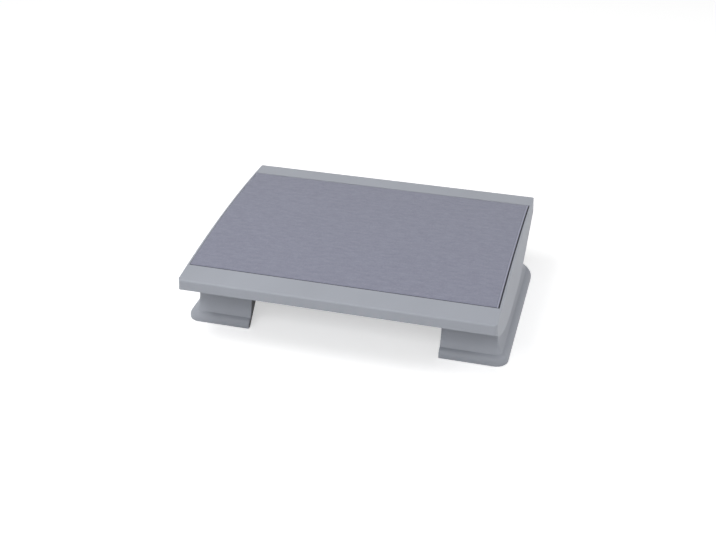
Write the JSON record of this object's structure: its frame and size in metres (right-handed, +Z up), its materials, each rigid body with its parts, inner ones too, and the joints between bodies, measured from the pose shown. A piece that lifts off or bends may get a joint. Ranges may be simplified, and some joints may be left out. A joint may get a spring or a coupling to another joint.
{
  "type": "tilting under desk footrest",
  "caption": "Under desk footrest: an arched platform with a carpet inlay tips to the front and back on an axle between coved feet.",
  "frame": {"origin": "centre of the footprint, on the floor", "axes": "+X along the width to the user's right as seen from the front, +Y to the back, +Z up"},
  "size_m": [0.474, 0.361, 0.1122],
  "materials": {
    "grey_moulding": "fine spark texture",
    "black_nylon": "moulded, matt",
    "carpet": "short ribbed pile",
    "foam_backing": "closed cell foam",
    "plated_steel": "zinc plated",
    "spring_steel": "oiled",
    "screw_steel": "zinc plated",
    "pad_rubber": "matt",
    "acetal": "natural white"
  },
  "bodies": {
    "base": {"axle_rod": "plated_steel", "axle_lock_pins": "spring_steel", "left_foot_shell": "grey_moulding", "right_foot_shell": "grey_moulding", "left_pivot_bracket": "black_nylon", "right_pivot_bracket": "black_nylon", "left_foot_pads": "pad_rubber", "right_foot_pads": "pad_rubber", "left_bracket_screws": "screw_steel", "right_bracket_screws": "screw_steel", "left_stop_buffers": "pad_rubber", "right_stop_buffers": "pad_rubber", "left_thrust_washer": "acetal", "right_thrust_washer": "acetal", "left_disc_spring": "spring_steel", "right_disc_spring": "spring_steel", "left_axle_clip": "spring_steel", "right_axle_clip": "spring_steel"},
    "platform": {"deck_shell": "grey_moulding", "carpet_mat": "carpet", "mat_backing": "foam_backing", "left_pivot_bush": "acetal", "right_pivot_bush": "acetal", "left_bearing_cap": "black_nylon", "right_bearing_cap": "black_nylon", "left_cap_screws": "screw_steel", "right_cap_screws": "screw_steel"}
  },
  "joints": [
    {"name": "platform_tilt", "type": "hinge", "parent": "base", "child": "platform", "pos_m": [0, 0, 0.08], "axis": [1, 0, 0], "range_deg": [-12, 12]}
  ]
}
